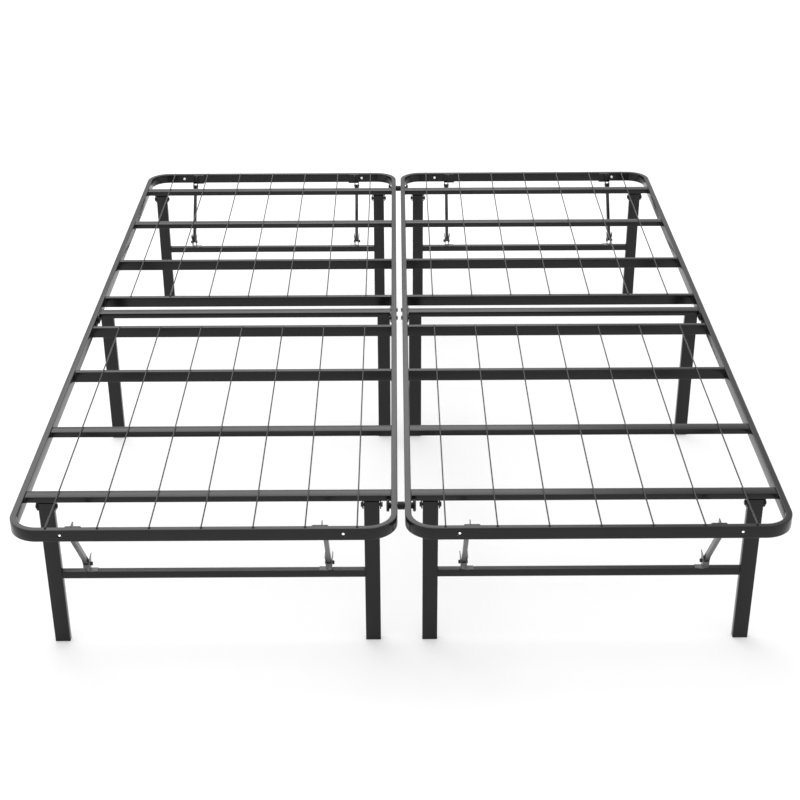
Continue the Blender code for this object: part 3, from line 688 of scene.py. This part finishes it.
def clip_bolt(place, nut_side):
    """The bolt through a clip that the strut's fork drops over."""
    parts = [lathe("X", PIN, [(place - CLIP_OUTER, PIN_RADIUS), (place + CLIP_OUTER, PIN_RADIUS)], 16)]
    for sign, reach in ((nut_side, 0.0042), (-nut_side, 0.0020)):
        face = place + sign * CLIP_OUTER
        profile = [(face, 0.0040), (face + sign * (reach - 0.0008), 0.0040), (face + sign * reach, 0.0033)]
        parts.append(lathe("X", PIN, profile, outline=hexagon))
    return merge(*parts)


def clips(hand):
    return merge(clip(strut_place(-1, hand), -1), clip(strut_place(1, hand), 1))


def clip_bolts(hand, side_y):
    """The nuts face the middle of the bed, but for the outer ones at the rear."""
    return merge(clip_bolt(strut_place(-1, hand), -1), clip_bolt(strut_place(1, hand), side_y))


def legs_shape():
    """A folding leg frame: two legs and their crossbar."""
    depth, low, high = CROSSBAR
    edge = LEG_PLACE - LEG[0] / 2
    parts = leg_tubes(LEG_PLACE, SLATS[0], LEG_TOP)
    parts.append(tube("X", (SLATS[0], (low + high) / 2), (depth, high - low), -edge - 0.0003, edge + 0.0003,
                      SLAT_CORNER, SLAT_WALL))
    return merge(*parts)


def legs_beads(hand):
    """Welds of the crossbar to the legs, and two short ones along each edge of a clip's foot."""
    depth, low, high = CROSSBAR
    edge = LEG_PLACE - LEG[0] / 2
    z_foot = high - 0.0004
    stitch = 0.007
    parts = []
    for side in (-1, 1):
        x = side * edge
        for turn in (-1, 1):
            y = SLATS[0] + turn * depth / 2
            parts.append(bead((x, y, low + 0.001), (x, y, high - 0.001)))
        for z in (low, high):
            parts.append(bead((x, SLATS[0] - 0.005, z), (x, SLATS[0] + 0.005, z), 0.0014))
        place = strut_place(side, hand)
        left, right = sorted((place - side * 0.0195, place + side * 0.0045))
        for turn in (-1, 1):
            y = SLATS[0] + turn * depth / 2
            parts.append(bead((left, y, z_foot), (left + stitch, y, z_foot), 0.0013))
            parts.append(bead((right - stitch, y, z_foot), (right, y, z_foot), 0.0013))
    return merge(*parts)


def strut_shape(side, hand):
    """A U channel: two walls forked at the lower end, joined by a web. It is made hanging straight
    down from its pivot, then leant onto the pin."""
    run = PIN[0] - STRUT_PIVOT[0]
    fall = STRUT_PIVOT[1] - PIN[1]
    length = (run ** 2 + fall ** 2) ** 0.5
    tip = -length - STRUT_FORK
    slot = STRUT_SLOT
    half = STRUT_HALF_DEPTH
    wall = arc((0, 0), half, 0.0, pi, 12)
    wall += arc((-half + 0.002, tip + 0.002), 0.002, pi, 1.5 * pi, 3)
    wall += [(-slot - 0.0008, tip), (-slot, tip + 0.001)]
    wall += arc((0, -length), slot, pi, 0.0, 8)
    wall += [(slot, tip + 0.001), (slot + 0.0008, tip)]
    wall += arc((half - 0.002, tip + 0.002), 0.002, 1.5 * pi, 2 * pi, 3)
    parts = []
    for turn in (-1, 1):
        edges = sorted(turn * x for x in STRUT_WALL)
        parts.append(bar("X", wall, *edges))
    web = rounded((0.0086, 0.0015), 0.0005, (0.0, 0.0008 - half))
    parts.append(bar("Z", web, -length + STRUT_FORK, -0.002))
    lean = Matrix.Rotation(atan2(run, fall), 4, "X")
    place = Matrix.Translation((strut_place(side, hand), *STRUT_PIVOT))
    return turned(merge(*parts), place @ lean)


def mid_shapes():
    """The fixed frame at mid length: a flat bar on two legs, with its welds."""
    under = SLAT_TOP - THIN
    tubes = leg_tubes(MID_LEG_PLACE, PANEL, under + 0.0006)
    tubes.append(slat(PANEL, BROAD, THIN, INNER_FACE - HINGE_PLATE - 2 * GAP))
    beads = []
    for side in (-1, 1):
        centre = side * MID_LEG_PLACE
        for turn in (-1, 1):
            y = PANEL + turn * LEG[1] / 2
            beads.append(bead((centre - 0.013, y, under), (centre + 0.013, y, under)))
            x = centre + turn * LEG[0] / 2
            beads.append(bead((x, PANEL - 0.006, under), (x, PANEL + 0.006, under)))
    return merge(*tubes), merge(*beads)


# ---------------------------------------------------------------- fasteners

def bolt_shape(centre, head, nut, shaft=0.003):
    """A hexagon bolt along x with washers, its head and nut each between two x values."""
    parts = [lathe("X", centre, [(min(head + nut) + 0.0002, shaft), (max(head + nut) - 0.0002, shaft)], 20)]
    for near, far in (head, nut):
        out = 1 if far > near else -1
        face = near + out * WASHER
        parts.append(lathe("X", centre, [(near, 0.0054), (face, 0.0054)], 24))
        parts.append(lathe("X", centre, [(face, 0.0052), (far - out * 0.0006, 0.0052), (far, 0.0044)],
                           outline=hexagon))
    return merge(*parts)


def leg_bolt(side):
    centre = side * LEG_PLACE
    near = LEG_BRACKET[1] + GAP
    far = near + BOLT_HEAD
    return bolt_shape(LEG_PIVOT, (centre - near, centre - far), (centre + near, centre + far))


def hinge_bolt(side, end):
    outer = HALF + GAP
    plate = INNER_FACE - GAP - HINGE_PLATE - GAP
    return bolt_shape((PANEL + end * HINGE_OFFSET, RAIL_MID), (side * outer, side * (outer + BOLT_HEAD)),
                      (side * plate, side * (plate - BOLT_NUT)))


def hinge_plate(side):
    outline = arc((PANEL + HINGE_OFFSET, RAIL_MID), HINGE_PLATE_RADIUS, -pi / 2, pi / 2, 16)
    outline += arc((PANEL - HINGE_OFFSET, RAIL_MID), HINGE_PLATE_RADIUS, pi / 2, 1.5 * pi, 16)
    edges = sorted((side * (INNER_FACE - GAP), side * (INNER_FACE - GAP - HINGE_PLATE)))
    return bar("X", outline, *edges)


def lobed(radius):
    """Outline of a hand nut: a disc with eight shallow scallops."""
    steps = 96
    points = []
    for i in range(steps):
        angle = 2 * pi * i / steps
        reach = radius * (1 - 0.05 * max(0.0, cos(8 * angle)) ** 2)
        points.append((reach * cos(angle), reach * sin(angle)))
    return points


def knob_shape():
    """Hand nut on the inner side rail: a lobed disc with a round neck."""
    centre = (CONNECTOR, RAIL_MID)
    face = GAP - INNER_FACE
    disc = [(0.0030, 0.0090), (0.0035, 0.0108), (0.0045, 0.0118), (0.0060, 0.0120), (0.0078, 0.0117),
            (0.0086, 0.0108), (0.0090, 0.0092), (0.0088, 0.0070), (0.0086, 0.0046)]
    neck = [(0.0, 0.0062), (0.0004, 0.0065), (0.0032, 0.0065)]
    return merge(lathe("X", centre, [(face + a, r) for a, r in disc], outline=lobed),
                 lathe("X", centre, [(face + a, r) for a, r in neck], 32))


def connector_shape(y):
    """Bolt and thick spacer between the halves, in world coordinates."""
    centre = (y, RAIL_MID)
    half_gap = rail_low.x - GAP
    end = rail_low.x + RAIL_WIDTH + GAP + CONNECTOR_END
    shaft = [(-end, 0.0030), (-end + 0.0008, 0.0038)]
    shaft += [(-x, radius) for x, radius in reversed(shaft)]
    spacer = [(-half_gap, 0.0072), (-half_gap + 0.0006, 0.0080)]
    spacer += [(-x, radius) for x, radius in reversed(spacer)]
    return merge(lathe("X", centre, shaft, 20), lathe("X", centre, spacer, 32))


# ---------------------------------------------------------------- assembly

def dress_panel(side_x, side_y, rail):
    end = "front" if side_y < 0 else "rear"
    prefix = end + ("_left_" if side_x < 0 else "_right_")
    deck = end + "_deck"
    place = panel_matrix(side_x, side_y)
    hand = side_x * side_y
    metal = "black_powder_coat"
    piece(prefix + "rail_tube", rail, metal, place, deck, prefix + "rail", 0.0, 0.6)
    piece(prefix + "strut_brackets", strut_brackets(hand), metal, place, deck)
    piece(prefix + "slat_1_tube", slat_1_shape(), metal, place, deck, prefix + "slat_1")
    piece(prefix + "slat_2_tube", flat_slat(SLATS[1]), metal, place, deck, prefix + "slat_2")
    piece(prefix + "slat_3_tube", edge_slat(SLATS[2]), metal, place, deck, prefix + "slat_3")
    piece(prefix + "slat_4_tube", edge_slat(SLATS[3]), metal, place, deck, prefix + "slat_4_and_wires")
    piece(prefix + "deck_wires", wire_shapes(), metal, place, deck, edge=0.0)
    piece(prefix + "welds", merge(slat_beads(), bracket_beads(hand)), metal, place, deck, edge=0.0)
    piece(prefix + "hole_liners", hole_liners(), "bright_zinc", place, deck, edge=0.0)
    legs = prefix + "legs"
    piece(prefix + "leg_tubes", legs_shape(), metal, place, legs, legs)
    piece(prefix + "strut_clips", clips(hand), "clip_coat", place, legs)
    piece(prefix + "clip_bolts", clip_bolts(hand, side_y), "blackened_steel", place, legs, edge=0.0)
    piece(prefix + "leg_welds", legs_beads(hand), metal, place, legs, edge=0.0)
    piece(prefix + "foot_plugs", foot_plugs(LEG_PLACE, SLATS[0]), "black_plastic", place, legs, edge=0.0)
    knob = prefix + "connector_knob"
    piece(prefix + "hand_nut", knob_shape(), "black_plastic", place, knob, knob, 0.0)
    for side, side_name in ((-1, "inner"), (1, "outer")):
        strut = prefix + side_name + "_strut"
        piece(strut + "_channel", strut_shape(side, hand), "strut_coat", place, strut, strut)
        bolt = prefix + side_name + "_leg_bolt"
        piece(bolt + "_hex", leg_bolt(side), "blackened_steel", place, deck, bolt, 0.0, 0.5)


def dress_middle(side_x):
    prefix = "mid_left" if side_x < 0 else "mid_right"
    place = panel_matrix(side_x, -1)
    base = "bed_base"
    metal = "black_powder_coat"
    frame_shape, welds = mid_shapes()
    piece(prefix + "_frame_tubes", frame_shape, metal, place, base, prefix + "_legs")
    piece(prefix + "_welds", welds, metal, place, base, edge=0.0)
    piece(prefix + "_foot_plugs", foot_plugs(MID_LEG_PLACE, PANEL), "black_plastic", place, base, edge=0.0)
    for side, side_name in ((-1, "inner"), (1, "outer")):
        start = prefix + "_" + side_name
        piece(start + "_plate", hinge_plate(side), metal, place, base, start + "_hinge_plate")
        for end, end_name in ((-1, "front"), (1, "rear")):
            node = start + "_" + end_name + "_hinge_bolt"
            piece(node + "_hex", hinge_bolt(side, end), "blackened_steel", place, base, node, 0.0, 0.5)


rail = rail_shape()
for side_x in (-1, 1):
    dress_middle(side_x)
    for side_y in (-1, 1):
        dress_panel(side_x, side_y, rail)
for side_y, end_name in ((-1, "front"), (1, "rear")):
    connector = connector_shape(side_y * (PANEL - CONNECTOR))
    piece(end_name + "_connector_spacer", connector, "black_plastic", Matrix(), end_name + "_deck",
          end_name + "_connector_bolt", 0.0)


# ---------------------------------------------------------------- studio

def aim(thing, place, target):
    """Stand a light at a place and point it at a target."""
    thing.location = place
    thing.rotation_euler = (Vector(target) - Vector(place)).to_track_quat("-Z", "Y").to_euler()


def soft_light(name, place, target, size, watts):
    data = bpy.data.lights.new(name, "AREA")
    data.shape = "RECTANGLE"
    data.size, data.size_y = size
    data.energy = watts
    light = bpy.data.objects.new(name, data)
    bpy.context.scene.collection.objects.link(light)
    aim(light, place, target)


def studio():
    """White surroundings, a large soft light behind the head end, one above, and a white floor."""
    white = (1.0, 1.0, 1.0, 1.0)
    scene = bpy.context.scene
    world = bpy.data.worlds.new("studio_white")
    scene.world = world
    world.use_nodes = True
    background = world.node_tree.nodes["Background"]
    background.inputs["Color"].default_value = white
    background.inputs["Strength"].default_value = 1.0
    scene.view_settings.view_transform = "Standard"
    soft_light("back_softbox", (-1.55, 4.6, 4.4), (0.0, 0.0, 0.3), size=(6.0, 3.2), watts=118.0)
    soft_light("top_softbox", (-0.8, 0.2, 4.2), (0.0, 0.0, 0.0), size=(3.0, 3.0), watts=60.0)

    span = 30.0
    corners = [(-span, -span, 0), (span, -span, 0), (span, span, 0), (-span, span, 0)]
    mesh = bpy.data.meshes.new("floor")
    mesh.from_pydata(corners, [], [(0, 1, 2, 3)])
    floor = bpy.data.objects.new("studio_floor", mesh)
    floor.location.z = -0.0005
    scene.collection.objects.link(floor)
    m = Nodes("floor_white")
    m.set("Base Color", (0.62, 0.62, 0.62, 1.0))
    m.set("Roughness", 0.9)
    m.set("Specular IOR Level", 0.1)
    m.set("Emission Color", white)
    m.set("Emission Strength", 0.3)
    mesh.materials.append(m.material)


def camera():
    """A view from the foot end, looking down; fitted to the photograph with the bed at its size."""
    place = (-0.0074, -3.4987, 1.94)
    pitch = 0.4838
    yaw = 0.0023
    roll = -0.0041
    ahead = Vector((sin(yaw) * cos(pitch), cos(yaw) * cos(pitch), -sin(pitch)))
    right = Vector((cos(yaw), -sin(yaw), 0.0))
    up = right.cross(ahead)
    across = right * cos(roll) + up * sin(roll)
    upward = up * cos(roll) - right * sin(roll)
    data = bpy.data.cameras.new("camera")
    data.sensor_width = 36.0
    data.lens = 69.67395
    result = bpy.data.objects.new("camera", data)
    bpy.context.scene.collection.objects.link(result)
    rows = Matrix((across, upward, -ahead)).transposed().to_4x4()
    result.matrix_world = Matrix.Translation(place) @ rows
    bpy.context.scene.camera = result


studio()
camera()
